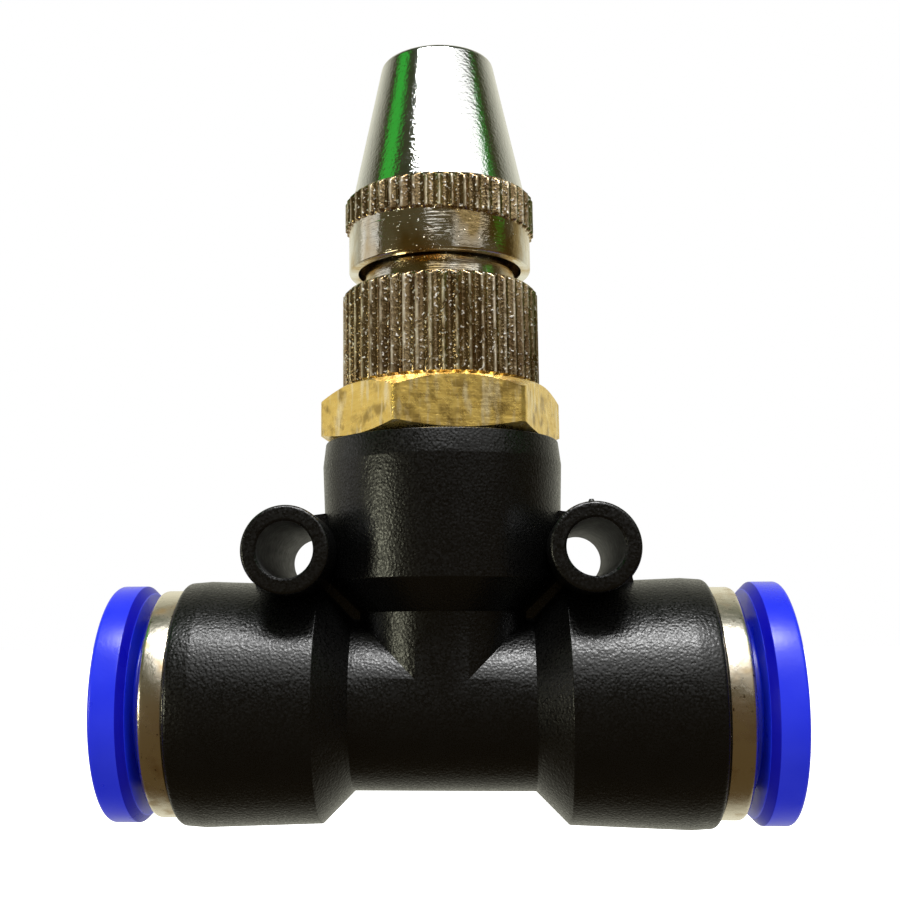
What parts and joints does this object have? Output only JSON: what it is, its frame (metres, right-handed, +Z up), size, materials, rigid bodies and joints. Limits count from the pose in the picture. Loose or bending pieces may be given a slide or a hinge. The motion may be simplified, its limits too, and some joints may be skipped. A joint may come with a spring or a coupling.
{
  "type": "flow control valve",
  "caption": "Push-in tee for 8 mm tube with two mounting eyes and, on its swivelling branch, a screw-adjusted needle spray outlet that sets the flow.",
  "frame": {"origin": "where the axis of the two tube ports crosses the axis of the branch", "axes": "+X along the tube ports to the right-hand port seen from the front, +Y from the front to the back (along the mounting eyes), +Z up the branch to the spray tip"},
  "size_m": [0.0392, 0.015, 0.0472],
  "materials": {
    "black_plastic": "fine spark-eroded grain",
    "blue_plastic": "smooth moulded acetal",
    "grey_plastic": "moulded",
    "seal_rubber": "nitrile rubber",
    "stainless": "stamped spring steel",
    "brass": "turned, bare",
    "nickel_plate": "nickel-plated brass, slightly tarnished",
    "chrome_plate": "bright plated brass"
  },
  "bodies": {
    "tee": {"tee_body": "black_plastic", "left_lip_seal": "seal_rubber", "left_spacer_ring": "grey_plastic", "left_grab_ring": "stainless", "left_retaining_sleeve": "nickel_plate", "right_lip_seal": "seal_rubber", "right_spacer_ring": "grey_plastic", "right_grab_ring": "stainless", "right_retaining_sleeve": "nickel_plate", "stud_clip": "stainless"},
    "left_button": {"left_release_collet": "blue_plastic"},
    "right_button": {"right_release_collet": "blue_plastic"},
    "outlet": {"branch_stud": "brass", "stud_o_ring": "seal_rubber", "stud_gasket": "seal_rubber", "nozzle_base": "nickel_plate", "needle": "stainless"},
    "sleeve_seal": {"sleeve_o_ring": "seal_rubber"},
    "sleeve": {"spray_sleeve": "chrome_plate"}
  },
  "joints": [
    {"name": "left_collet_push", "type": "slide", "parent": "tee", "child": "left_button", "axis": [1, 0, 0], "range_m": [0, 0.00055], "stiffness_N_per_m": 300, "springref_m": -0.002},
    {"name": "right_collet_push", "type": "slide", "parent": "tee", "child": "right_button", "axis": [-1, 0, 0], "range_m": [0, 0.00055], "stiffness_N_per_m": 300, "springref_m": -0.002},
    {"name": "stud_swivel", "type": "hinge", "parent": "tee", "child": "outlet", "pos_m": [0, 0, 0.012], "axis": [0, 0, 1], "continuous": true},
    {"name": "sleeve_lift", "type": "slide", "parent": "outlet", "child": "sleeve_seal", "axis": [0, 0, 1], "range_m": [-0.0012, 0.0015]},
    {"name": "sleeve_turn", "type": "hinge", "parent": "sleeve_seal", "child": "sleeve", "pos_m": [0, 0, 0.033], "axis": [0, 0, 1], "range_deg": [-433, 541]}
  ],
  "couplings": [
    {"joint": "sleeve_turn", "follows": "sleeve_lift", "rad_per_m": 6283.2}
  ]
}
